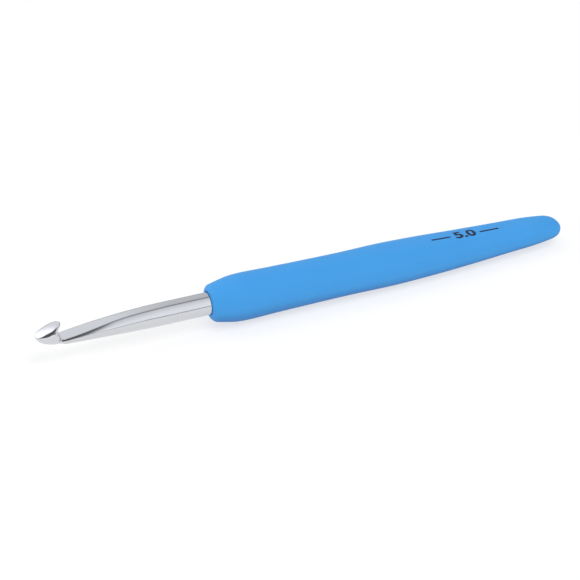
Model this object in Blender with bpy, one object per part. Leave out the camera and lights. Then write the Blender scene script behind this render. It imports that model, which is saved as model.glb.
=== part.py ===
"""A 5 mm crochet hook: an aluminium hook, a moulded core round its tang, and a soft overmoulded grip.

The pieces are modelled along +X from the hook's tip, with the throat facing +Z, in millimetres.
A parent empty then scales them to metres and lays the hook down as it rests on a table.
"""

from math import atan2, cos, pi, sin, tan

import bmesh
import bpy
from mathutils import Vector

MM = 0.001

# Overall
LENGTH = 125.5
SIDES = 32
FIT_GAP = 0.3

# Head, throat and shaft. Heights are above the shaft's axis.
SHAFT_RADIUS = 2.5
HEAD_RADIUS = 2.38
HEAD_LENGTH = 5.5
NOSE_LENGTH = 4.8
HEAD_HEIGHT = 1.15
NOSE_HEIGHT = 1.32
NOSE_FULLNESS = 0.42
FULL_HEAD_AT = 4.6
HEAD_TOP = 3.62
FACET_START = 1.16
FACET_SLOPE = 0.56
FACET_CURVE = 0.026
FACET_CROWN = 0.2
FACET_HALF_WIDTH = 1.7
NECK_START = 6.2
NECK_END = 24.0
NECK_RADIUS = 2.12
NECK_HEIGHT = 0.36
LIP_UNDERSIDE = 3.32
THROAT_TOP = (4.36, 2.60)
THROAT_TOP_ROUND = 0.2
THROAT_BOTTOM = (4.74, -0.10)
THROAT_BOTTOM_ROUND = 0.35
FLAT_END = 24.0

# Tang, from the grip's mouth to the swaged end
GROOVE_AT = 52.0
GROOVE_WIDTH = 2.4
GROOVE_DEPTH = 0.4
SWAGE_START = 70.0
SWAGE_FULL = 75.0
TANG_END = 88.0
SWAGE_HALF_WIDTH = 3.2
SWAGE_HALF_HEIGHT = 1.95
END_CHAMFER = 0.6

# Grip: distance from the tip, half height and half width
GRIP_STATIONS = [
    (37.6, 3.95, 3.95),
    (40.5, 4.60, 4.60),
    (43.0, 5.06, 5.06),
    (46.0, 5.21, 5.21),
    (52.0, 5.01, 5.20),
    (60.0, 4.75, 5.32),
    (70.0, 4.48, 5.50),
    (80.0, 4.39, 5.77),
    (90.0, 4.03, 5.57),
    (100.0, 3.53, 5.10),
    (110.0, 3.03, 4.57),
    (118.0, 2.66, 4.15),
    (LENGTH, 1.95, 3.12),
]
MOUTH_AT = 37.6
MOUTH_ROUND = 1.2
SHOULDER_AT = 46.0
BULGE_AT = 80.0
TAIL_ROUND_AT = 122.0
TAIL_SQUARENESS = 2.6
ROUND_EXPONENT = 2.0
TAIL_EXPONENT = 2.4
GRIP_DROP = -0.18
TAIL_RISE_FROM = 95.0
TAIL_HEIGHT = 0.18
REST_PAD_DEPTH = 0.08

# Core
GRIP_WALL = 1.25
CORE_START = 43.5
CORE_END = 121.5
CORE_ROUND = 2.5
KEY_GROOVES = [54.0, 66.0, 78.0, 92.0, 106.0]
KEY_WIDTH = 2.6
KEY_SLOPE = 0.5
KEY_DEPTH = 0.35


def clear_scene():
    for item in list(bpy.data.objects):
        bpy.data.objects.remove(item, do_unlink=True)


def material(name, colour, roughness, metallic):
    finish = bpy.data.materials.new(name)
    finish.use_nodes = True
    shader = finish.node_tree.nodes["Principled BSDF"]
    shader.inputs["Base Color"].default_value = (*colour, 1.0)
    shader.inputs["Roughness"].default_value = roughness
    shader.inputs["Metallic"].default_value = metallic
    return finish


def blend(start, end, share):
    return start + (end - start) * share


def ease(x, start, end):
    """0 before start, 1 after end, and a smooth step between them."""
    share = min(max((x - start) / (end - start), 0.0), 1.0)
    return share * share * (3.0 - 2.0 * share)


def smooth_column(stations, x, column):
    """Reads one column of a station table at x, on a smooth curve through the stations."""
    last = len(stations) - 1
    index = 0
    while index < last - 1 and x > stations[index + 1][0]:
        index += 1

    def slope(i):
        low, high = stations[max(i - 1, 0)], stations[min(i + 1, last)]
        return (high[column] - low[column]) / (high[0] - low[0])

    left, right = stations[index], stations[index + 1]
    span = right[0] - left[0]
    t = (x - left[0]) / span
    rise = (3.0 - 2.0 * t) * t * t
    start_pull = span * slope(index) * t * (1.0 - t) ** 2
    end_pull = -span * slope(index + 1) * t * t * (1.0 - t)
    return blend(left[column], right[column], rise) + start_pull + end_pull


def steps(start, end, count):
    return [blend(start, end, i / count) for i in range(count + 1)]


def section(x, middle, half_width, rise, drop, exponent=2.0):
    """One closed ring: a superellipse whose upper half may be taller than its lower half."""
    ring = []
    for i in range(SIDES):
        angle = 2.0 * pi * i / SIDES
        across = abs(cos(angle)) ** (2.0 / exponent)
        along = abs(sin(angle)) ** (2.0 / exponent)
        y = half_width * (across if cos(angle) > 0.0 else -across)
        z = middle + (rise * along if sin(angle) > 0.0 else -drop * along)
        ring.append(Vector((x, y, z)))
    return ring


def loft(mesh, rings, start_cap, end_cap):
    """Joins the rings into one skin and closes its ends: with a point, or with a flat face."""
    loops = [[mesh.verts.new(point) for point in ring] for ring in rings]
    for near, far in zip(loops, loops[1:]):
        for i in range(SIDES):
            j = (i + 1) % SIDES
            mesh.faces.new((near[i], far[i], far[j], near[j]))
    for loop, cap in ((loops[0], start_cap), (loops[-1], end_cap)):
        if cap is None:
            mesh.faces.new(loop)
        else:
            apex = mesh.verts.new(cap)
            for i in range(SIDES):
                mesh.faces.new((loop[i], loop[(i + 1) % SIDES], apex))


def finish_object(name, mesh, finish, parent):
    bmesh.ops.recalc_face_normals(mesh, faces=mesh.faces)
    data = bpy.data.meshes.new(name)
    mesh.to_mesh(data)
    mesh.free()
    data.shade_smooth()
    data.set_sharp_from_angle(angle=0.6)
    data.materials.append(finish)
    item = bpy.data.objects.new(name, data)
    item.parent = parent
    bpy.context.scene.collection.objects.link(item)
    return item


def subtract(item, cutter):
    cutter.hide_render = True
    cutter.display_type = "WIRE"
    cut = item.modifiers.new("cut_" + cutter.name, "BOOLEAN")
    cut.operation = "DIFFERENCE"
    cut.solver = "EXACT"
    cut.object = cutter


# The hook: head, throat, shaft and tang

def facet_height(x, y):
    """The slanted, slightly crowned top of the head."""
    ridge = FACET_START + FACET_SLOPE * x - FACET_CURVE * x * x
    return ridge + FACET_CROWN * (1.0 - (y / FACET_HALF_WIDTH) ** 2)


def head_section(x):
    share = min(x / NOSE_LENGTH, 1.0)
    radius = HEAD_RADIUS * (1.0 - (1.0 - share) ** 2) ** NOSE_FULLNESS
    middle = blend(NOSE_HEIGHT, HEAD_HEIGHT, ease(x, 0.0, FULL_HEAD_AT))
    ring = section(x, middle, radius, radius, radius)
    return [Vector((p.x, p.y, min(p.z, facet_height(p.x, p.y)))) for p in ring]


def head_to_neck_section(x):
    """The lower side narrows to the neck while the top stays up as far as the lip."""
    share = ease(x, FULL_HEAD_AT, NECK_START)
    middle = blend(HEAD_HEIGHT, NECK_HEIGHT, share)
    radius = blend(HEAD_RADIUS, NECK_RADIUS, share)
    ring = section(x, middle, radius, HEAD_TOP - middle, radius)
    return [Vector((p.x, p.y, min(p.z, facet_height(p.x, p.y)))) for p in ring]


def neck_section(x):
    share = (x - NECK_START) / (NECK_END - NECK_START)
    radius = blend(NECK_RADIUS, SHAFT_RADIUS, share)
    middle = blend(NECK_HEIGHT, 0.0, share)
    return section(x, middle, radius, radius, radius)


def tang_outline():
    """Distance, half width and half height of the rod from the shaft to the swaged end."""
    groove_bottom = SHAFT_RADIUS - GROOVE_DEPTH
    outline = [
        (GROOVE_AT, SHAFT_RADIUS, SHAFT_RADIUS),
        (GROOVE_AT + GROOVE_DEPTH, groove_bottom, groove_bottom),
        (GROOVE_AT + GROOVE_WIDTH - GROOVE_DEPTH, groove_bottom, groove_bottom),
        (GROOVE_AT + GROOVE_WIDTH, SHAFT_RADIUS, SHAFT_RADIUS),
    ]
    for x in steps(SWAGE_START, SWAGE_FULL, 4):
        share = ease(x, SWAGE_START, SWAGE_FULL)
        outline.append((x, blend(SHAFT_RADIUS, SWAGE_HALF_WIDTH, share),
                        blend(SHAFT_RADIUS, SWAGE_HALF_HEIGHT, share)))
    outline.append((TANG_END - END_CHAMFER, SWAGE_HALF_WIDTH, SWAGE_HALF_HEIGHT))
    outline.append((TANG_END, SWAGE_HALF_WIDTH - END_CHAMFER, SWAGE_HALF_HEIGHT - END_CHAMFER))
    return outline


def rounded_corner(before, corner, after, radius):
    """Points on the arc that rounds one corner of an outline."""
    before, corner, after = Vector(before), Vector(corner), Vector(after)
    inward, outward = (before - corner).normalized(), (after - corner).normalized()
    half_angle = inward.angle(outward) / 2.0
    centre = corner + (inward + outward).normalized() * (radius / sin(half_angle))
    start = corner + inward * (radius / tan(half_angle)) - centre
    end = corner + outward * (radius / tan(half_angle)) - centre
    return [tuple(centre + radius * start.slerp(end, share)) for share in (0.0, 0.25, 0.5, 0.75, 1.0)]


def throat_outline():
    """Side view of the metal milled away above the throat and the flat, as x and z."""
    lip = (HEAD_LENGTH, LIP_UNDERSIDE)
    flat_rise = (SHAFT_RADIUS - THROAT_BOTTOM[1]) / (FLAT_END - THROAT_BOTTOM[0])
    flat_end = (FLAT_END + 1.0, SHAFT_RADIUS + flat_rise)
    above = HEAD_TOP + 1.0
    outline = [(HEAD_LENGTH, above), lip]
    outline += rounded_corner(lip, THROAT_TOP, THROAT_BOTTOM, THROAT_TOP_ROUND)
    outline += rounded_corner(THROAT_TOP, THROAT_BOTTOM, flat_end, THROAT_BOTTOM_ROUND)
    return outline + [flat_end, (flat_end[0], above)]


def throat_cutter(parent):
    mesh = bmesh.new()
    near, far = [], []
    for x, z in throat_outline():
        near.append(mesh.verts.new((x, -5.0, z)))
        far.append(mesh.verts.new((x, 5.0, z)))
    mesh.faces.new(near)
    mesh.faces.new(far)
    for i in range(len(near)):
        j = (i + 1) % len(near)
        mesh.faces.new((near[i], near[j], far[j], far[i]))
    return finish_object("throat_cutter", mesh, material("cutter", (1.0, 0.2, 0.1), 0.5, 0.0), parent)


def build_hook(parent):
    rings = [head_section(FULL_HEAD_AT * (i / 12.0) ** 2) for i in range(1, 13)]
    rings += [head_to_neck_section(x) for x in steps(FULL_HEAD_AT, NECK_START, 6)[1:-1]]
    rings += [neck_section(x) for x in (NECK_START, 15.0, NECK_END)]
    rings += [section(x, 0.0, wide, high, high) for x, wide, high in tang_outline()]
    mesh = bmesh.new()
    loft(mesh, rings, Vector((0.0, 0.0, NOSE_HEIGHT)), None)
    aluminium = material("polished_aluminium", (0.86, 0.87, 0.89), 0.18, 1.0)
    hook = finish_object("hook_shaft", mesh, aluminium, parent)
    subtract(hook, throat_cutter(parent))
    return hook


# The handle: core and soft grip

def handle_middle(x):
    return blend(GRIP_DROP, TAIL_HEIGHT, ease(x, TAIL_RISE_FROM, LENGTH))


def handle_exponent(x):
    return blend(ROUND_EXPONENT, TAIL_EXPONENT, ease(x, SHOULDER_AT, LENGTH))


def end_rounding(x, start, end, squareness):
    share = min(max((x - start) / (end - start), 0.0), 1.0)
    return (1.0 - share ** squareness) ** (1.0 / squareness)


def grip_section(x):
    high = smooth_column(GRIP_STATIONS, x, 1)
    wide = smooth_column(GRIP_STATIONS, x, 2)
    tail = end_rounding(x, TAIL_ROUND_AT, LENGTH, TAIL_SQUARENESS)
    return section(x, handle_middle(x), wide * tail, high * tail, high * tail, handle_exponent(x))


def mouth_section(x):
    """The rounded lip of the mouth, from the shaft's hole out to the grip's own outline."""
    reach = (MOUTH_AT + MOUTH_ROUND - x) / MOUTH_ROUND
    inset = MOUTH_ROUND * (1.0 - (1.0 - reach * reach) ** 0.5)
    high = smooth_column(GRIP_STATIONS, x, 1) - inset
    return section(x, handle_middle(x) * (1.0 - reach), high, high, high)


def key_depth(x):
    """Depth of the ring grooves that key the soft grip to the core."""
    for middle in KEY_GROOVES:
        beyond = abs(x - middle) - (KEY_WIDTH / 2.0 - KEY_SLOPE)
        if beyond < KEY_SLOPE:
            return KEY_DEPTH * (1.0 - max(beyond, 0.0) / KEY_SLOPE)
    return 0.0


def core_section(x, grow):
    inset = GRIP_WALL + key_depth(x) - grow
    tail = end_rounding(x, CORE_END - CORE_ROUND, CORE_END, 2.0)
    high = smooth_column(GRIP_STATIONS, x, 1) - inset
    wide = smooth_column(GRIP_STATIONS, x, 2) - inset
    return section(x, handle_middle(x), wide * tail, high * tail, high * tail, handle_exponent(x))


def core_distances():
    distances = [CORE_START]
    groove_edge = KEY_WIDTH / 2.0
    groove_floor = groove_edge - KEY_SLOPE
    for middle in KEY_GROOVES:
        distances += [middle + offset for offset in (-groove_edge, -groove_floor, groove_floor, groove_edge)]
    distances.append(114.0)
    distances += [CORE_END - CORE_ROUND * cos(angle * pi / 180.0) for angle in (0.0, 30.0, 55.0, 75.0)]
    return sorted(distances)


def build_core(parent):
    tang = [(CORE_START, SHAFT_RADIUS, SHAFT_RADIUS)] + tang_outline()
    bore = [(x, wide + FIT_GAP, high + FIT_GAP) for x, wide, high in tang]
    bore[-1] = (TANG_END + FIT_GAP, SWAGE_HALF_WIDTH, SWAGE_HALF_HEIGHT)
    inside = [section(x, 0.0, wide, high, high) for x, wide, high in reversed(bore)]
    outside = [core_section(x, 0.0) for x in core_distances()]
    mesh = bmesh.new()
    loft(mesh, inside + outside, None, Vector((CORE_END, 0.0, handle_middle(CORE_END))))
    return finish_object("handle_core", mesh, material("core_plastic", (0.08, 0.16, 0.30), 0.45, 0.0), parent)


def build_grip(parent):
    hole = SHAFT_RADIUS + FIT_GAP
    cavity = [core_section(x, FIT_GAP) for x in reversed(core_distances())]
    front_wall = core_section(CORE_START, FIT_GAP)
    for point in front_wall:
        point.x = CORE_START - FIT_GAP
    inside = cavity[:-1] + [core_section(CORE_START, FIT_GAP), front_wall]
    inside += [section(x, 0.0, hole, hole, hole) for x in (CORE_START - FIT_GAP, MOUTH_AT + 0.4)]
    mouth_angles = [angle * pi / 180.0 for angle in (12.0, 30.0, 50.0, 70.0)]
    outside = [mouth_section(MOUTH_AT + MOUTH_ROUND * (1.0 - cos(angle))) for angle in mouth_angles]
    outside += [grip_section(x) for x in (MOUTH_AT + MOUTH_ROUND, 40.0, 41.5, 43.0, 44.5, 46.0, 48.0, 50.5)]
    outside += [grip_section(x) for x in steps(54.0, TAIL_ROUND_AT, 14)]
    span = LENGTH - TAIL_ROUND_AT
    outside += [grip_section(TAIL_ROUND_AT + span * share) for share in (0.35, 0.6, 0.78, 0.9, 0.97, 0.995)]
    blind_end = Vector((CORE_END + FIT_GAP, 0.0, handle_middle(CORE_END)))
    tail_tip = Vector((LENGTH, 0.0, handle_middle(LENGTH)))
    mesh = bmesh.new()
    loft(mesh, inside + outside, blind_end, tail_tip)
    return finish_object("soft_grip", mesh, material("blue_rubber", (0.085, 0.36, 0.80), 0.5, 0.0), parent)


# Laying the hook down

def rest_tilt():
    """The grip lies on its shoulder and its bulge, so the tip is lifted a little."""
    shoulder = smooth_column(GRIP_STATIONS, SHOULDER_AT, 1)
    bulge = smooth_column(GRIP_STATIONS, BULGE_AT, 1)
    return atan2(shoulder - bulge, BULGE_AT - SHOULDER_AT)


def lay_down(stand, items):
    """Centres the hook over the origin, with the two rest pads at height zero."""
    stand.rotation_euler = (0.0, rest_tilt(), 0.0)
    stand.scale = (MM, MM, MM)
    bpy.context.view_layer.update()
    corners = [item.matrix_world @ vertex.co for item in items for vertex in item.data.vertices]
    low_x = min(corner.x for corner in corners)
    high_x = max(corner.x for corner in corners)
    low_z = min(corner.z for corner in corners)
    stand.location = (-(low_x + high_x) / 2.0, 0.0, -low_z - REST_PAD_DEPTH * MM)


def pad_cutter():
    """A block whose top is the table. It trims the underside to two small flat pads."""
    mesh = bmesh.new()
    bmesh.ops.create_cube(mesh, size=1.0)
    block = finish_object("pad_cutter", mesh, bpy.data.materials["cutter"], None)
    for vertex in block.data.vertices:
        vertex.co = Vector((vertex.co.x * 0.16, vertex.co.y * 0.04, vertex.co.z * 0.01 - 0.005))
    return block


def main():
    clear_scene()
    stand = bpy.data.objects.new("stand", None)
    bpy.context.scene.collection.objects.link(stand)
    hook = build_hook(stand)
    core = build_core(stand)
    grip = build_grip(stand)
    lay_down(stand, [hook, core, grip])
    subtract(grip, pad_cutter())


main()
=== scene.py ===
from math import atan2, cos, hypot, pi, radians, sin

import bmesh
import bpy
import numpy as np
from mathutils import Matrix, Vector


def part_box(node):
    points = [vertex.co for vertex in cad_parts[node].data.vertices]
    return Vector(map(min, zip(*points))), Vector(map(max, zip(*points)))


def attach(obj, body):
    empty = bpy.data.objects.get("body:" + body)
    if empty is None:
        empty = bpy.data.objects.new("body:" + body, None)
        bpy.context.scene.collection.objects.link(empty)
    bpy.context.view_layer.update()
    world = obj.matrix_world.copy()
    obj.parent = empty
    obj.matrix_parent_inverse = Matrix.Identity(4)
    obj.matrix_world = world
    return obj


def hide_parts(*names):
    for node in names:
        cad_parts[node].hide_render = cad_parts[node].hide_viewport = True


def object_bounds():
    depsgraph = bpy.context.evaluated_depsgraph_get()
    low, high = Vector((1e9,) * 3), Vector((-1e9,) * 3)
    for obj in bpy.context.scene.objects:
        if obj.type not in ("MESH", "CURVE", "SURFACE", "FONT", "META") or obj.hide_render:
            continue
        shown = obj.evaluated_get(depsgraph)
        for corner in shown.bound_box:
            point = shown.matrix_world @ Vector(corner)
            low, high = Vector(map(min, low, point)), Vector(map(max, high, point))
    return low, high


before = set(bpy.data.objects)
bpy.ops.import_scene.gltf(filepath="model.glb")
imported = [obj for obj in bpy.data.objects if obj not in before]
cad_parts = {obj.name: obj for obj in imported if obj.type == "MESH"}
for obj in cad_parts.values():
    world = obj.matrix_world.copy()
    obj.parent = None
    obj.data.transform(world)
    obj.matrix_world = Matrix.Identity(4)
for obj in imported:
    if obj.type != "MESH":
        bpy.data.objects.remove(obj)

# A 5 mm crochet hook lying on a white table: fine meshes, finishes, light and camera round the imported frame.
#
# Shapes are worked out in the hook's own frame, in millimetres, as x along the hook from its tip, y to
# the side and z up, with the throat facing +z. to_world() then lays them down as the CAD model lies.
# A value whose name ends in HEIGHTS or FADE is a pair: where a change starts and where it is complete.

CAD_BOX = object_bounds()
MM = 0.001

# Head, throat and shaft, with the throat's top and bottom as (x, z). The flat is crowned here, and plain
# in the CAD model.
SHAFT_RADIUS = 2.5
HEAD_RADIUS = 2.38
HEAD_LENGTH = 5.5
NOSE_LENGTH = 4.8
HEAD_HEIGHT = 1.15
NOSE_HEIGHT = 1.32
NOSE_FULLNESS = 0.42
LEAST_ROUNDNESS = 0.001
FULL_HEAD_AT = 4.6
FACET_START = 1.16
FACET_SLOPE = 0.56
FACET_CURVE = 0.026
FACET_CROWN = 0.2
FACET_HALF_WIDTH = 1.7
NECK_START = 6.2
NECK_END = 24.0
NECK_RADIUS = 2.12
NECK_HEIGHT = 0.36
LIP_UNDERSIDE = 3.32
THROAT_TOP = (4.36, 2.60)
THROAT_BOTTOM = (4.74, -0.04)
FLAT_SLOPE = 0.135
FLAT_END = 24.0
FLAT_CROWN = 0.13
FLAT_CROWN_START = 1.6
FLAT_CROWN_FULL = 23.8
FLAT_HALF_WIDTH = 2.1
LIP_HEIGHTS = (1.0, 2.4)
LIP_BACK_LENGTH = 1.0

# Softened edges of the metal
LIP_PLAN_RADIUS = 1.1
LIP_PLAN_HEIGHTS = (1.8, 3.0)
CREASE_ROUND = 0.18
CREASE_EXTRA_ROUND = 0.38
CREASE_ROUNDEST_AT = 2.2
LIP_EDGE_ROUND = 0.3
LIP_EDGE_HEIGHTS = (0.1, 1.1)
LIP_EDGE_FADE = (5.5, 7.5)
FLAT_EDGE_ROUND = 1.02
SHAFT_EDGE_ROUND = 1.37
LIP_ROUND = 0.25
THROAT_TOP_ROUND = 0.35
THROAT_BOTTOM_ROUND = 0.6
NECK_SOFTNESS = 0.3

# Tang
PLAIN_SHAFT_AT = (34.0, 38.0, 45.0)
GROOVE_AT = 52.0
GROOVE_WIDTH = 2.4
GROOVE_DEPTH = 0.4
SWAGE_START = 70.0
SWAGE_FULL = 75.0
TANG_END = 88.0
SWAGE_HALF_WIDTH = 3.2
SWAGE_HALF_HEIGHT = 1.95
END_CHAMFER = 0.6
SWAGE_RINGS = 5

# Grip: distance from the tip, half height and half width
LENGTH = 125.5
GRIP_STATIONS = np.array([
    (37.6, 3.95, 3.95),
    (40.5, 4.60, 4.60),
    (43.0, 5.06, 5.06),
    (46.0, 5.21, 5.21),
    (52.0, 5.01, 5.20),
    (60.0, 4.75, 5.32),
    (70.0, 4.48, 5.50),
    (80.0, 4.39, 5.77),
    (90.0, 4.03, 5.57),
    (100.0, 3.53, 5.10),
    (110.0, 3.03, 4.57),
    (118.0, 2.66, 4.15),
    (LENGTH, 1.95, 3.12),
])
SHOULDER_AT, SHOULDER_HALF_HEIGHT = GRIP_STATIONS[3, :2]
BULGE_AT, BULGE_HALF_HEIGHT = GRIP_STATIONS[7, :2]
MOUTH_AT = 37.6
MOUTH_ROUND = 1.2
MOUTH_GAP = 0.05
MOUTH_RIM_SETBACK = 0.03
MOUTH_RIM_FLARE = 0.07
BORE_RINGS = (41.0, 39.0, 38.0, 37.7)
TAIL_ROUND_AT = 122.0
TAIL_SQUARENESS = 2.6
ROUND_EXPONENT = 2.0
TAIL_EXPONENT = 2.4
GRIP_DROP = -0.18
TAIL_RISE_FROM = 95.0
TAIL_HEIGHT = 0.18
GRIP_WALL = 1.25
CORE_START = 43.5
CORE_END = 121.5
CORE_ROUND = 2.5
CORE_SQUARENESS = 2.0
FIT_GAP = 0.3
CAVITY_END_RINGS = (121.3, 120.8, 120.0, 119.0, 116.0)
CAVITY_REST_FROM = 112.0
CAVITY_RINGS = 15

# The skin lies this far inside the CAD surface, which leaves room for the ink
SKIN_INSET = 0.025

# Size mark. Its top is level with the CAD surface
MARK = "— 5.0 —"
MARK_START = 91.3
MARK_LENGTH = 17.5
MARK_HEIGHT = 2.75
INK_DEPTH = 0.06
MARK_BOLDNESS = 0.032
MARK_SMOOTHNESS = 6
MARK_WELD = 0.0005
MARK_STRIP = 0.25

# Mesh detail
METAL_SIDES = 96
GRIP_SIDES = 128
GRIP_RINGS = 110
MOUTH_ANGLES = range(6, 90, 4)
TAIL_ANGLES = range(6, 88, 3)
GRADIENT_STEP = 0.002
SETTLING_STEPS = 3
LEAST_STEEPNESS = 0.05
SHARP_ANGLE = 0.6
LONGEST_STRETCH = 7.5
WIDEST_STRETCH = 3.5
STRETCH_SAMPLES = 1200
RING_RAYS = 241
LONGEST_RAY = 3.0
RAY_SAMPLES = 61
HALVINGS = 30
LENGTH_SHARE = 0.6
TURNING_WINDOW = 9

# The head's rings fan round a line in the open throat, just behind the head's wall. The shaft's rings
# hang from a line that rises from there.
PIVOT = np.array((4.95, 0.0, 0.95))
FAN_LIMITS = (150.0, 230.0)
FAN_HALVINGS = 40
FAN_RINGS = 220
LIP_ARC = 9.0
LIP_RINGS = 16
SHAFT_RINGS = 90
SHAFT_RINGS_END = 31.0
SHAFT_RING_CROWDING = 1.5
HANGING_SLOPE = 0.14

# Finishes: two shades that patches run between, and the range of roughness
METAL_LIGHT = (0.64, 0.65, 0.675, 1.0)
METAL_DARK = (0.60, 0.61, 0.635, 1.0)
METAL_ROUGHNESS = (0.09, 0.14)
RUBBER_DARK = (0.046, 0.293, 0.67, 1.0)
RUBBER_LIGHT = (0.053, 0.315, 0.72, 1.0)
# Painted shade: the grip's colour turns towards this on faces that look down, between the two facings of the
# fade below
RUBBER_PAINTED_SHADE = (0.012, 0.120, 0.36, 1.0)
RUBBER_PAINTED_SHADE_FADE = (0.1, -1.1)
RUBBER_ROUGHNESS = (0.50, 0.60)
CORE_DARK = (0.07, 0.15, 0.28, 1.0)
CORE_LIGHT = (0.09, 0.18, 0.33, 1.0)
CORE_ROUGHNESS = (0.4, 0.5)
INK_DARK = (0.006, 0.010, 0.035, 1.0)
INK_LIGHT = (0.014, 0.022, 0.060, 1.0)
INK_ROUGHNESS = (0.45, 0.6)
TABLE_DARK = (0.33, 0.33, 0.33, 1.0)
TABLE_LIGHT = (0.34, 0.34, 0.34, 1.0)
WHITE = (1.0, 1.0, 1.0, 1.0)
NOISE_FADE = (0.3, 0.7)

# View
CAMERA_TARGET = Vector((-6.08, 0.0, 3.74)) * MM
CAMERA_AZIMUTH = -23.84
CAMERA_ELEVATION = 34.0
CAMERA_DISTANCE = 0.300
CAMERA_LENS = 85.2
CAMERA_NEAREST = 0.01
TABLE_REACH = 3.0

# The light tent's brightness. Its fades are measured by how far a direction points right, back or up,
# from -1 to 1
TENT_COLOUR = (0.96, 0.97, 1.0, 1.0)
BACK_LEFT = 1.75
BACK_LEFT_FADE = (-0.38, -0.18)
BACK = 1.03
BACK_RIGHT = 0.62
BACK_RIGHT_FADE = (0.05, 0.45)
FRONT_HIGH = 0.93
FRONT_LOW = 1.20
FRONT_LOW_FADE = (-0.1, -0.95)
FRONT_FADE = (0.16, -0.02)
LEFT_FADE = (0.12, 0.03)
HIGH_LEFT_SHARE = 0.12
HIGH_FADE = (0.15, 0.45)

# Dim strips round the tent: middle, half width, and the share of light left
SEAM = (0.09, 0.20, 0.42)
HORIZON = (0.05, 0.13, 0.35)
STRIP_CORE = 0.15

# The table's own light and the lamps
TABLE_GLOW = 0.66
KEY_PLACE = Vector((0.15, -0.30, 0.70))
KEY_SIZE = 0.5
KEY_POWER = 2.5
FILL_PLACE = Vector((-0.60, -0.10, 0.25))
FILL_SIZE = 0.3
FILL_POWER = 1.2


# Small tools

def blend(start, end, share):
    return start + (end - start) * share


def ease(x, start, end):
    """0 before start, 1 after end, and a smooth step between them."""
    share = np.clip((x - start) / (end - start), 0.0, 1.0)
    return share * share * (3.0 - 2.0 * share)


def smooth_max(a, b, width):
    """The larger of two distances, with the edge where they cross rounded over width."""
    overlap = np.maximum(width - np.abs(a - b), 0.0) / width
    return np.maximum(a, b) + overlap * overlap * width / 4.0


def smooth_min(a, b, width):
    return -smooth_max(-a, -b, width)


def beside_line(x, z, start, end):
    """Distance to the right of the line that runs from start to end in the side view."""
    along_x, along_z = end[0] - start[0], end[1] - start[1]
    return ((x - start[0]) * along_z - (z - start[1]) * along_x) / hypot(along_x, along_z)


# The hook rests on its grip's shoulder and bulge. The metal's foremost point is the nose, and its lowest
# is the underside where the swage starts.
TILT = atan2(SHOULDER_HALF_HEIGHT - BULGE_HALF_HEIGHT, BULGE_AT - SHOULDER_AT)
HOOK_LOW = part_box("hook_shaft")[0] / MM
ORIGIN_X = HOOK_LOW.x - NOSE_HEIGHT * sin(TILT)
ORIGIN_Z = HOOK_LOW.z + SWAGE_START * sin(TILT) + SHAFT_RADIUS * cos(TILT)


def to_world(points):
    """From the hook's own frame in millimetres to the world in metres."""
    x, y, z = np.moveaxis(np.asarray(points, dtype=float), -1, 0)
    world_x = ORIGIN_X + x * cos(TILT) + z * sin(TILT)
    world_z = ORIGIN_Z - x * sin(TILT) + z * cos(TILT)
    return np.stack([world_x, y, world_z], axis=-1) * MM


def add_object(name, mesh, material):
    """Puts a finished bmesh into the scene as a piece of the hook."""
    data = bpy.data.meshes.new(name)
    mesh.to_mesh(data)
    mesh.free()
    data.shade_smooth()
    data.materials.append(material)
    piece = bpy.data.objects.new(name, data)
    bpy.context.scene.collection.objects.link(piece)
    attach(piece, "root")
    return piece


def loft(rings, first_tip, last_tip):
    """One closed skin through rings of equal count, closed at each end on a point or with a flat face."""
    mesh = bmesh.new()
    loops = [[mesh.verts.new(point) for point in to_world(ring)] for ring in rings]
    for near, far in zip(loops, loops[1:]):
        for i in range(len(near)):
            j = (i + 1) % len(near)
            mesh.faces.new((near[i], far[i], far[j], near[j]))
    for loop, tip in ((loops[0], first_tip), (loops[-1], last_tip)):
        if tip is None:
            mesh.faces.new(loop)
        else:
            apex = mesh.verts.new(to_world(tip))
            for i in range(len(loop)):
                mesh.faces.new((loop[i], loop[(i + 1) % len(loop)], apex))
    bmesh.ops.recalc_face_normals(mesh, faces=mesh.faces)
    return mesh


# The metal's surface, as a signed distance

def metal_body(x, y, z):
    """The bullet head, the neck and the shaft before anything is cut from them.

    Dividing by the nose's slope brings the gap close to a true distance, which keeps the crease there even.
    """
    head_share = np.clip(x / NOSE_LENGTH, 0.0, 1.0)
    roundness = 1.0 - (1.0 - head_share) ** 2
    head_radius = HEAD_RADIUS * roundness ** NOSE_FULLNESS
    nose_pitch = 2.0 * (1.0 - head_share) / NOSE_LENGTH
    steepness = np.maximum(roundness, LEAST_ROUNDNESS) ** (NOSE_FULLNESS - 1.0)
    nose_slope = HEAD_RADIUS * NOSE_FULLNESS * nose_pitch * steepness
    head_middle = blend(NOSE_HEIGHT, HEAD_HEIGHT, ease(x, 0.0, FULL_HEAD_AT))
    neck_share = smooth_min((x - NECK_START) / (NECK_END - NECK_START), 1.0, NECK_SOFTNESS)
    neck_radius = blend(NECK_RADIUS, SHAFT_RADIUS, neck_share)
    neck_middle = blend(NECK_HEIGHT, 0.0, neck_share)
    at_lip = ease(z, *LIP_HEIGHTS) * (1.0 - ease(x, NECK_START, NECK_START + LIP_BACK_LENGTH))
    narrowing = ease(x, FULL_HEAD_AT, NECK_START) * (1.0 - at_lip)
    radius = blend(head_radius, neck_radius, narrowing)
    middle = blend(head_middle, neck_middle, narrowing)
    return np.maximum((np.hypot(y, z - middle) - radius) / np.hypot(1.0, nose_slope), -x)


def facet(x, y, z):
    """The slanted, slightly crowned top of the head."""
    x = np.minimum(x, NECK_START)
    ridge = FACET_START + FACET_SLOPE * x - FACET_CURVE * x * x
    crown = FACET_CROWN * (1.0 - (y / FACET_HALF_WIDTH) ** 2)
    return (z - ridge - crown) / hypot(1.0, FACET_SLOPE)


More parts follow.
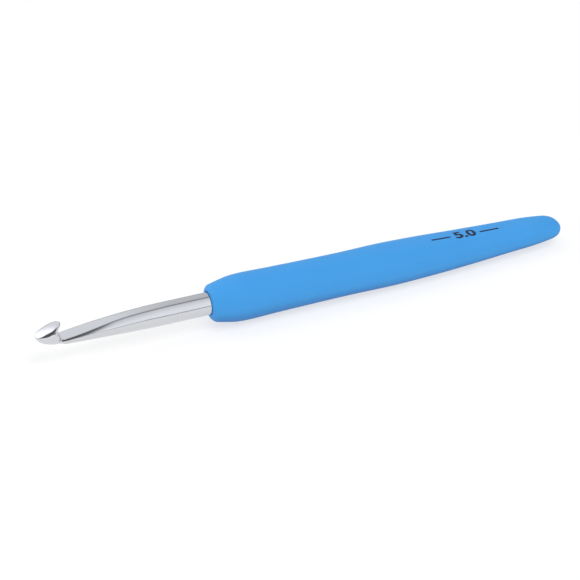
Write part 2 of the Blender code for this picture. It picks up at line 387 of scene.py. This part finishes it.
def throat(x, y, z):
    """What is milled away: above the flat, behind the head's wall and below the lip."""
    lip = (HEAD_LENGTH, LIP_UNDERSIDE)
    tongue_x = x + y * y / (2.0 * LIP_PLAN_RADIUS) * ease(z, *LIP_PLAN_HEIGHTS)
    flat = THROAT_BOTTOM[1] + FLAT_SLOPE * (x - THROAT_BOTTOM[0])
    crown = FLAT_CROWN * ease(x, FLAT_CROWN_START, FLAT_CROWN_FULL) * (FLAT_HALF_WIDTH ** 2 - y * y)
    above_flat = (z - flat - crown) / hypot(1.0, FLAT_SLOPE)
    behind_wall = beside_line(x, z, THROAT_BOTTOM, THROAT_TOP)
    below_lip = beside_line(x, z, THROAT_TOP, lip)
    beyond_lip = tongue_x - HEAD_LENGTH
    under_or_beyond = smooth_max(below_lip, beyond_lip, LIP_ROUND)
    notch = smooth_min(behind_wall, under_or_beyond, THROAT_TOP_ROUND)
    return smooth_min(above_flat, notch, THROAT_BOTTOM_ROUND)


def metal(points):
    """Negative inside the hook's metal and positive outside it."""
    x, y, z = points[..., 0], points[..., 1], points[..., 2]
    extra = np.exp(-((x - CREASE_ROUNDEST_AT) ** 2))
    crease_round = CREASE_ROUND + CREASE_EXTRA_ROUND * extra
    head = smooth_max(metal_body(x, y, z), facet(x, y, z), crease_round)
    along_flat = np.clip((x - HEAD_LENGTH) / (FLAT_END - HEAD_LENGTH), 0.0, 1.0)
    flat_edge = blend(FLAT_EDGE_ROUND, SHAFT_EDGE_ROUND, along_flat)
    at_wall = ease(z, *LIP_EDGE_HEIGHTS) * (1.0 - ease(x, *LIP_EDGE_FADE))
    edge_round = blend(flat_edge, LIP_EDGE_ROUND, at_wall)
    return smooth_max(head, throat(x, y, z), edge_round)


def metal_gradient(points):
    steps = GRADIENT_STEP * np.eye(3)
    rises = [metal(points + step) - metal(points - step) for step in steps]
    return np.stack(rises, axis=-1) / (2.0 * GRADIENT_STEP)


def settle(points):
    """Moves points that are nearly on the metal's surface exactly onto it."""
    for _ in range(SETTLING_STEPS):
        slope = metal_gradient(points)
        share = metal(points) / np.maximum((slope * slope).sum(axis=-1), LEAST_STEEPNESS)
        points = points - share[..., None] * slope
    return points


# The metal's mesh: rings on planes that stand across the shaft and neck, then fan round into the head

def surface_along(start, directions):
    """The first points where rays from start leave the metal."""
    reach = np.linspace(0.0, LONGEST_RAY, RAY_SAMPLES)
    field = metal(start + reach[None, :, None] * directions[:, None, :])
    first = np.argmax(field > 0.0, axis=1)
    low, high = reach[first - 1], reach[first]
    for _ in range(HALVINGS):
        middle = (low + high) / 2.0
        outside = metal(start + middle[:, None] * directions) > 0.0
        high = np.where(outside, middle, high)
        low = np.where(outside, low, middle)
    return start + low[:, None] * directions


def spread(outline, count):
    """Points along an outline, shared out by its length and by its turning, so that edges get more."""
    legs = np.diff(outline, axis=0)
    length = np.linalg.norm(legs, axis=1)
    ahead = legs / length[:, None]
    turning = np.linalg.norm(np.diff(ahead, axis=0), axis=1)
    window = np.ones(TURNING_WINDOW) / TURNING_WINDOW
    turning = np.convolve(np.concatenate(([0.0], turning, [0.0])), window, mode="same")
    turning = (turning[:-1] + turning[1:]) / 2.0
    measure = blend(turning / turning.sum(), length / length.sum(), LENGTH_SHARE)
    travelled = np.concatenate(([0.0], np.cumsum(measure)))
    wanted = np.linspace(0.0, travelled[-1], count)
    return np.stack([np.interp(wanted, travelled, column) for column in outline.T], axis=-1)


def inside_stretch(origin, direction, reach):
    """Nearest and farthest distances at which a line from origin is inside the metal, or None."""
    distances = np.linspace(0.0, reach, STRETCH_SAMPLES)
    inside = distances[metal(origin + distances[:, None] * direction) < 0.0]
    return (inside[0], inside[-1]) if len(inside) > 1 else None


def metal_ring(origin, direction):
    """The metal's outline on the half-plane that leaves origin in this direction and spreads along y."""
    near, far = inside_stretch(origin, direction, LONGEST_STRETCH)
    centre = origin + direction * (near + far) / 2.0
    across = np.array((0.0, 1.0, 0.0))
    half_width = inside_stretch(centre, across, WIDEST_STRETCH)[1]
    angle = np.linspace(0.0, pi, RING_RAYS)[:, None]
    rays = np.cos(angle) * direction * (far - near) / 2.0 + np.sin(angle) * across * half_width
    half = settle(spread(surface_along(centre, rays), METAL_SIDES // 2 + 1))
    half[[0, -1], 1] = 0.0
    mirrored = half[-2:0:-1] * np.array((1.0, -1.0, 1.0))
    return np.concatenate((half, mirrored))


def fan_direction(turn):
    """Points down at 0, towards the nose at a quarter turn and past the lip beyond half a turn."""
    return np.array((-sin(turn), 0.0, -cos(turn)))


def fan_turns():
    """Angles of the half-planes through the head, closest together at the lip, and the lip's own angle."""
    low, high = np.radians(FAN_LIMITS)
    for _ in range(FAN_HALVINGS):
        middle = (low + high) / 2.0
        if inside_stretch(PIVOT, fan_direction(middle), LONGEST_STRETCH):
            low = middle
        else:
            high = middle
    arc = radians(LIP_ARC)
    closing = [low - arc * (1.0 - share) ** 2 for share in np.linspace(0.0, 1.0, LIP_RINGS)[1:-1]]
    return closing[::-1] + list(np.linspace(low - arc, 0.0, FAN_RINGS)), low


def round_ring(x, half_width, half_height):
    angle = np.linspace(0.0, 2.0 * pi, METAL_SIDES, endpoint=False)
    across, up = half_width * np.sin(angle), -half_height * np.cos(angle)
    return np.stack([np.full_like(angle, x), across, up], axis=-1)


def tang_rings():
    """The shaft behind the flat, the ring groove and the swaged end, hidden in the grip."""
    groove_bottom = SHAFT_RADIUS - GROOVE_DEPTH
    groove_end = GROOVE_AT + GROOVE_WIDTH
    outline = [(x, SHAFT_RADIUS, SHAFT_RADIUS) for x in (*PLAIN_SHAFT_AT, GROOVE_AT)]
    outline.append((GROOVE_AT + GROOVE_DEPTH, groove_bottom, groove_bottom))
    outline.append((groove_end - GROOVE_DEPTH, groove_bottom, groove_bottom))
    outline.append((groove_end, SHAFT_RADIUS, SHAFT_RADIUS))
    for x in np.linspace(SWAGE_START, SWAGE_FULL, SWAGE_RINGS):
        share = ease(x, SWAGE_START, SWAGE_FULL)
        outline.append((x, blend(SHAFT_RADIUS, SWAGE_HALF_WIDTH, share),
                        blend(SHAFT_RADIUS, SWAGE_HALF_HEIGHT, share)))
    outline.append((TANG_END - END_CHAMFER, SWAGE_HALF_WIDTH, SWAGE_HALF_HEIGHT))
    outline.append((TANG_END, SWAGE_HALF_WIDTH - END_CHAMFER, SWAGE_HALF_HEIGHT - END_CHAMFER))
    return [round_ring(x, wide, high) for x, wide, high in outline]


def shaft_rings():
    """Rings across the neck and the shaft, closer together towards the throat."""
    down = fan_direction(0.0)
    rings = []
    for share in np.linspace(0.0, 1.0, SHAFT_RINGS)[1:]:
        x = blend(PIVOT[0], SHAFT_RINGS_END, share ** SHAFT_RING_CROWDING)
        hanging_point = PIVOT + np.array((1.0, 0.0, HANGING_SLOPE)) * (x - PIVOT[0])
        rings.append(metal_ring(hanging_point, down))
    return rings


def set_exact_normals(data, exact):
    """Takes the normals of the first vertices from the metal's surface, and leaves the others as they are."""
    slope = metal_gradient(exact)
    turned = to_world(exact + slope) - to_world(exact)
    turned /= np.linalg.norm(turned, axis=1)[:, None]
    normals = np.zeros((len(data.vertices), 3))
    normals[:len(turned)] = turned
    data.normals_split_custom_set_from_vertices(normals.tolist())


def build_metal():
    turns, lip_turn = fan_turns()
    exact_rings = [metal_ring(PIVOT, fan_direction(turn)) for turn in turns] + shaft_rings()
    lip_near, lip_far = inside_stretch(PIVOT, fan_direction(lip_turn), LONGEST_STRETCH)
    lip_tip = PIVOT + fan_direction(lip_turn) * (lip_near + lip_far) / 2.0
    mesh = loft(exact_rings + tang_rings(), lip_tip, None)
    piece = add_object("metal_hook", mesh, polished_aluminium())
    piece.data.set_sharp_from_angle(angle=SHARP_ANGLE)
    set_exact_normals(piece.data, np.concatenate(exact_rings))
    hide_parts("hook_shaft")


# The soft grip

def station(x, column):
    """Reads one column of the grip's stations at x, on a smooth curve through them."""
    places, values = GRIP_STATIONS[:, 0], GRIP_STATIONS[:, column]
    slopes = np.empty_like(values)
    slopes[1:-1] = (values[2:] - values[:-2]) / (places[2:] - places[:-2])
    slopes[0] = (values[1] - values[0]) / (places[1] - places[0])
    slopes[-1] = (values[-1] - values[-2]) / (places[-1] - places[-2])
    i = int(np.clip(np.searchsorted(places, x) - 1, 0, len(places) - 2))
    span = places[i + 1] - places[i]
    t = (x - places[i]) / span
    rise = (3.0 - 2.0 * t) * t * t
    pulls = span * slopes[i] * t * (1.0 - t) ** 2 - span * slopes[i + 1] * t * t * (1.0 - t)
    return blend(values[i], values[i + 1], rise) + pulls


def grip_middle(x):
    return blend(GRIP_DROP, TAIL_HEIGHT, ease(x, TAIL_RISE_FROM, LENGTH))


def grip_exponent(x):
    return blend(ROUND_EXPONENT, TAIL_EXPONENT, ease(x, SHOULDER_AT, LENGTH))


def end_rounding(x, start, end, squareness):
    share = np.clip((x - start) / (end - start), 0.0, 1.0)
    return (1.0 - share ** squareness) ** (1.0 / squareness)


def oval_ring(x, middle, half_width, half_height, exponent):
    angle = np.linspace(0.0, 2.0 * pi, GRIP_SIDES, endpoint=False)
    across = np.sign(np.cos(angle)) * np.abs(np.cos(angle)) ** (2.0 / exponent)
    up = np.sign(np.sin(angle)) * np.abs(np.sin(angle)) ** (2.0 / exponent)
    return np.stack([np.full_like(angle, x), half_width * across, middle + half_height * up], axis=-1)


def grip_ring(x):
    tail = end_rounding(x, TAIL_ROUND_AT, LENGTH, TAIL_SQUARENESS)
    high, wide = station(x, 1) - SKIN_INSET, station(x, 2) - SKIN_INSET
    return oval_ring(x, grip_middle(x), wide * tail, high * tail, grip_exponent(x))


def mouth_ring(x):
    """The rounded lip of the mouth, from the shaft out to the grip's own outline."""
    reach = (MOUTH_AT + MOUTH_ROUND - x) / MOUTH_ROUND
    inset = MOUTH_ROUND * (1.0 - (1.0 - reach * reach) ** 0.5)
    radius = max(station(x, 1) - SKIN_INSET - inset, SHAFT_RADIUS + MOUTH_GAP)
    return oval_ring(x, grip_middle(x) * (1.0 - reach), radius, radius, ROUND_EXPONENT)


def cavity_ring(x):
    """The inside of the grip, round the core."""
    inset = GRIP_WALL - FIT_GAP
    tail = end_rounding(x, CORE_END - CORE_ROUND, CORE_END, CORE_SQUARENESS)
    high, wide = station(x, 1) - inset, station(x, 2) - inset
    return oval_ring(x, grip_middle(x), wide * tail, high * tail, grip_exponent(x))


def bore_ring(x, radius):
    return oval_ring(x, 0.0, radius, radius, ROUND_EXPONENT)


def inner_rings():
    """The cavity from its blind end forwards, then the bore out to the mouth's rim."""
    bore = SHAFT_RADIUS + MOUTH_GAP
    rings = [cavity_ring(x) for x in CAVITY_END_RINGS]
    rings += [cavity_ring(x) for x in np.linspace(CAVITY_REST_FROM, CORE_START, CAVITY_RINGS)]
    rings += [bore_ring(x, bore) for x in (CORE_START - FIT_GAP, *BORE_RINGS)]
    rings.append(bore_ring(MOUTH_AT + MOUTH_RIM_SETBACK, bore + MOUTH_RIM_FLARE))
    return rings


def outer_rings():
    """The skin from the mouth back to the tail, with rings at even angles round both ends."""
    tail = LENGTH - TAIL_ROUND_AT
    rings = [mouth_ring(MOUTH_AT + MOUTH_ROUND * (1.0 - cos(radians(angle)))) for angle in MOUTH_ANGLES]
    rings += [grip_ring(x) for x in np.linspace(MOUTH_AT + MOUTH_ROUND, TAIL_ROUND_AT, GRIP_RINGS)]
    rings += [grip_ring(TAIL_ROUND_AT + tail * sin(radians(angle))) for angle in TAIL_ANGLES]
    return rings


def build_grip():
    blind_end = (CORE_END + FIT_GAP, 0.0, grip_middle(CORE_END))
    tail_tip = (LENGTH, 0.0, grip_middle(LENGTH))
    mesh = loft(inner_rings() + outer_rings(), blind_end, tail_tip)
    for vertex in mesh.verts:
        vertex.co.x = min(vertex.co.x, CAD_BOX[1].x)
        vertex.co.z = max(vertex.co.z, 0.0)
    piece = add_object("rubber_grip", mesh, grip_rubber())
    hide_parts("soft_grip")


# The size mark

def grip_top(x, y):
    """Height of the CAD grip's upper surface."""
    exponent = grip_exponent(x)
    across = min(abs(y) / station(x, 2), 1.0)
    return grip_middle(x) + station(x, 1) * (1.0 - across ** exponent) ** (1.0 / exponent)


def flat_lettering():
    """The mark as a flat mesh of its printed size, with its left end at x = 0 and centred on y = 0."""
    curve = bpy.data.curves.new("mark_text", "FONT")
    curve.body = MARK
    curve.offset = MARK_BOLDNESS
    curve.resolution_u = MARK_SMOOTHNESS
    text = bpy.data.objects.new("mark_text", curve)
    bpy.context.scene.collection.objects.link(text)
    bpy.context.view_layer.update()
    evaluated = text.evaluated_get(bpy.context.evaluated_depsgraph_get())
    mesh = bmesh.new()
    mesh.from_mesh(evaluated.to_mesh())
    bpy.data.objects.remove(text)
    bmesh.ops.remove_doubles(mesh, verts=mesh.verts, dist=MARK_WELD)
    low = Vector([min(v.co[i] for v in mesh.verts) for i in range(3)])
    high = Vector([max(v.co[i] for v in mesh.verts) for i in range(3)])
    for vertex in mesh.verts:
        vertex.co.x = (vertex.co.x - low.x) * MARK_LENGTH / (high.x - low.x)
        vertex.co.y = (vertex.co.y - (low.y + high.y) / 2.0) * MARK_HEIGHT / (high.y - low.y)
    return mesh


def build_mark():
    """Cuts the flat mark into strips that can follow the grip, thickens it and lays it on."""
    mesh = flat_lettering()
    for y in np.arange(-MARK_HEIGHT / 2.0 + MARK_STRIP, MARK_HEIGHT / 2.0, MARK_STRIP):
        everything = mesh.verts[:] + mesh.edges[:] + mesh.faces[:]
        bmesh.ops.bisect_plane(mesh, geom=everything, plane_co=(0.0, y, 0.0), plane_no=(0.0, 1.0, 0.0))
    sheet = mesh.faces[:]
    raised = bmesh.ops.extrude_face_region(mesh, geom=sheet)["geom"]
    top = {item for item in raised if isinstance(item, bmesh.types.BMVert)}
    for vertex in mesh.verts:
        x, y = MARK_START + vertex.co.x, vertex.co.y
        depth = 0.0 if vertex in top else INK_DEPTH
        vertex.co = Vector(to_world((x, y, grip_top(x, y) - depth)))
    bmesh.ops.recalc_face_normals(mesh, faces=mesh.faces)
    add_object("size_mark", mesh, print_ink())


# Finishes

class Nodes:
    """A short way to write a node tree."""

    def __init__(self, tree):
        self.tree = tree

    def add(self, kind, **settings):
        node = self.tree.nodes.new(kind)
        for key, value in settings.items():
            setattr(node, key, value)
        return node

    def put(self, source, socket):
        """Links a socket, or sets a plain value."""
        if isinstance(source, bpy.types.NodeSocket):
            self.tree.links.new(source, socket)
        else:
            socket.default_value = source

    def maths(self, operation, first, second=0.0):
        node = self.add("ShaderNodeMath", operation=operation)
        self.put(first, node.inputs[0])
        self.put(second, node.inputs[1])
        return node.outputs["Value"]

    def ramp(self, value, low, high, out_low, out_high):
        """Maps a value smoothly from one range onto another."""
        ramp = self.add("ShaderNodeMapRange", interpolation_type="SMOOTHSTEP")
        limits = {"From Min": low, "From Max": high, "To Min": out_low, "To Max": out_high}
        for socket, limit in limits.items():
            self.put(limit, ramp.inputs[socket])
        self.put(value, ramp.inputs["Value"])
        return ramp.outputs["Result"]

    def place(self, stretch):
        """Object coordinates in metres, stretched along each axis."""
        mapping = self.add("ShaderNodeMapping")
        self.put(self.add("ShaderNodeTexCoord").outputs["Object"], mapping.inputs["Vector"])
        self.put(stretch, mapping.inputs["Scale"])
        return mapping.outputs["Vector"]

    def noise(self, scale, detail, stretch=(1.0, 1.0, 1.0)):
        noise = self.add("ShaderNodeTexNoise")
        self.put(scale, noise.inputs["Scale"])
        self.put(detail, noise.inputs["Detail"])
        self.put(self.place(stretch), noise.inputs["Vector"])
        return noise.outputs["Fac"]

    def mix(self, share, first, second):
        mix = self.add("ShaderNodeMix", data_type="RGBA")
        self.put(share, mix.inputs["Factor"])
        self.put(first, mix.inputs["A"])
        self.put(second, mix.inputs["B"])
        return mix.outputs["Result"]

    def bump(self, height, distance, strength):
        bump = self.add("ShaderNodeBump")
        self.put(strength, bump.inputs["Strength"])
        self.put(distance, bump.inputs["Distance"])
        self.put(height, bump.inputs["Height"])
        return bump.outputs["Normal"]

    def shade(self, **sources):
        """Fills the shader's sockets, with _ for the spaces in their names."""
        for name, source in sources.items():
            self.put(source, self.tree.nodes["Principled BSDF"].inputs[name.replace("_", " ")])


def new_material(name):
    material = bpy.data.materials.new(name)
    material.use_nodes = True
    return material, Nodes(material.node_tree)


def polished_aluminium():
    material, nodes = new_material("polished_aluminium")
    lines = nodes.noise(scale=9000.0, detail=2.0, stretch=(0.03, 1.0, 1.0))
    smears = nodes.noise(scale=260.0, detail=3.0, stretch=(0.4, 1.0, 1.0))
    nodes.shade(
        Metallic=1.0,
        Base_Color=nodes.mix(smears, METAL_LIGHT, METAL_DARK),
        Roughness=nodes.ramp(smears, *NOISE_FADE, *METAL_ROUGHNESS),
        Normal=nodes.bump(lines, distance=0.000003, strength=0.3),
    )
    return material


def grip_rubber():
    """Soft matt rubber with painted shade: its colour deepens on faces that look down, where less light
    reaches.
    """
    material, nodes = new_material("grip_rubber")
    mottle = nodes.noise(scale=160.0, detail=3.0)
    grain = nodes.noise(scale=6500.0, detail=2.0)
    # Painted shade: the base colour darkens towards the shade colour as the surface turns to face down
    facing = nodes.add("ShaderNodeSeparateXYZ")
    nodes.put(nodes.add("ShaderNodeNewGeometry").outputs["Normal"], facing.inputs["Vector"])
    painted_shade = nodes.ramp(facing.outputs["Z"], *RUBBER_PAINTED_SHADE_FADE, 0.0, 1.0)
    mottled = nodes.mix(mottle, RUBBER_DARK, RUBBER_LIGHT)
    nodes.shade(
        Base_Color=nodes.mix(painted_shade, mottled, RUBBER_PAINTED_SHADE),
        Roughness=nodes.ramp(grain, *NOISE_FADE, *RUBBER_ROUGHNESS),
        Normal=nodes.bump(grain, distance=0.00001, strength=0.4),
        Specular_IOR_Level=0.25,
    )
    return material


def core_plastic():
    material, nodes = new_material("moulded_core")
    mottle = nodes.noise(scale=300.0, detail=2.0)
    grain = nodes.noise(scale=4000.0, detail=2.0)
    nodes.shade(
        Base_Color=nodes.mix(mottle, CORE_DARK, CORE_LIGHT),
        Roughness=nodes.ramp(grain, *NOISE_FADE, *CORE_ROUGHNESS),
        Normal=nodes.bump(grain, distance=0.00001, strength=0.4),
    )
    return material


def print_ink():
    material, nodes = new_material("print_ink")
    patches = nodes.noise(scale=2500.0, detail=2.0)
    nodes.shade(
        Base_Color=nodes.mix(patches, INK_DARK, INK_LIGHT),
        Roughness=nodes.ramp(patches, *NOISE_FADE, *INK_ROUGHNESS),
        Specular_IOR_Level=0.3,
    )
    return material


def table_top():
    """A pale top that gives off some light, as a light table does, so that it shows as white."""
    material, nodes = new_material("table_top")
    patches = nodes.noise(scale=30.0, detail=2.0)
    nodes.shade(
        Base_Color=nodes.mix(patches, TABLE_DARK, TABLE_LIGHT),
        Roughness=0.8,
        Specular_IOR_Level=0.0,
        Emission_Color=WHITE,
        Emission_Strength=TABLE_GLOW,
    )
    return material


# Studio

def build_floor():
    mesh = bmesh.new()
    bmesh.ops.create_grid(mesh, x_segments=2, y_segments=2, size=TABLE_REACH)
    data = bpy.data.meshes.new("table")
    mesh.to_mesh(data)
    mesh.free()
    data.materials.append(table_top())
    table = bpy.data.objects.new("table", data)
    bpy.context.scene.collection.objects.link(table)


def build_sky():
    """A light tent: a front that is dark high on its left, a back that dims to the right, and two strips."""
    world = bpy.data.worlds.new("light_tent")
    world.use_nodes = True
    nodes = Nodes(world.node_tree)
    direction = nodes.add("ShaderNodeTexCoord").outputs["Generated"]

    def towards(place):
        dot = nodes.add("ShaderNodeVectorMath", operation="DOT_PRODUCT")
        nodes.put(direction, dot.inputs[0])
        nodes.put(Vector(place).normalized(), dot.inputs[1])
        return dot.outputs["Value"]

    def dim_strip(place, middle, half_width, left):
        """The share of light left by a strip round the middle value of a coordinate."""
        distance = nodes.maths("ABSOLUTE", nodes.maths("SUBTRACT", place, middle))
        return nodes.ramp(distance, half_width * STRIP_CORE, half_width, left, 1.0)

    across = towards((1.0, 0.0, 0.0))
    depth = towards((0.0, 1.0, 0.0))
    height = towards((0.0, 0.0, 1.0))
    on_left = nodes.ramp(across, *LEFT_FADE, 0.0, 1.0)
    in_front = nodes.ramp(depth, *FRONT_FADE, 0.0, 1.0)

    back_right = nodes.ramp(across, *BACK_RIGHT_FADE, BACK, BACK_RIGHT)
    back_left_gain = nodes.ramp(across, *BACK_LEFT_FADE, BACK_LEFT - BACK, 0.0)
    back = nodes.maths("ADD", back_right, back_left_gain)

    high_left = nodes.maths("MULTIPLY", on_left, nodes.ramp(height, *HIGH_FADE, 0.0, 1.0))
    front_plain = nodes.ramp(depth, *FRONT_LOW_FADE, FRONT_HIGH, FRONT_LOW)
    front = nodes.maths("MULTIPLY", front_plain, nodes.ramp(high_left, 0.0, 1.0, 1.0, HIGH_LEFT_SHARE))

    front_gain = nodes.maths("MULTIPLY", nodes.maths("SUBTRACT", front, back), in_front)
    level = nodes.maths("ADD", back, front_gain)

    # The strip along the horizon is left out at the front left
    front_left = nodes.maths("MULTIPLY", on_left, in_front)
    horizon = nodes.maths("MAXIMUM", front_left, dim_strip(height, *HORIZON))
    for factor in (dim_strip(depth, *SEAM), horizon):
        level = nodes.maths("MULTIPLY", level, factor)
    background = world.node_tree.nodes["Background"]
    nodes.put(level, background.inputs["Strength"])
    nodes.put(TENT_COLOUR, background.inputs["Color"])
    bpy.context.scene.world = world


def build_lamp(name, place, size, power):
    """A square soft light that models the grip and the table without showing in the metal."""
    light = bpy.data.lights.new(name, "AREA")
    light.shape = "SQUARE"
    light.size = size
    light.energy = power
    lamp = bpy.data.objects.new(name, light)
    lamp.location = place
    lamp.rotation_euler = (-place).to_track_quat("-Z", "Y").to_euler()
    lamp.visible_glossy = False
    bpy.context.scene.collection.objects.link(lamp)


def build_camera():
    data = bpy.data.cameras.new("camera")
    data.lens = CAMERA_LENS
    data.clip_start = CAMERA_NEAREST
    azimuth, elevation = radians(CAMERA_AZIMUTH), radians(CAMERA_ELEVATION)
    back = Vector((sin(azimuth) * cos(elevation), -cos(azimuth) * cos(elevation), sin(elevation)))
    camera = bpy.data.objects.new("camera", data)
    camera.location = CAMERA_TARGET + back * CAMERA_DISTANCE
    camera.rotation_euler = (-back).to_track_quat("-Z", "Y").to_euler()
    bpy.context.scene.collection.objects.link(camera)
    bpy.context.scene.camera = camera


build_camera()
build_metal()
build_grip()
build_mark()
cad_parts["handle_core"].material_slots[0].material = core_plastic()
build_floor()
build_sky()
build_lamp("key", KEY_PLACE, KEY_SIZE, KEY_POWER)
build_lamp("fill", FILL_PLACE, FILL_SIZE, FILL_POWER)
bpy.context.scene.view_settings.view_transform = "Standard"

bpy.context.view_layer.update()
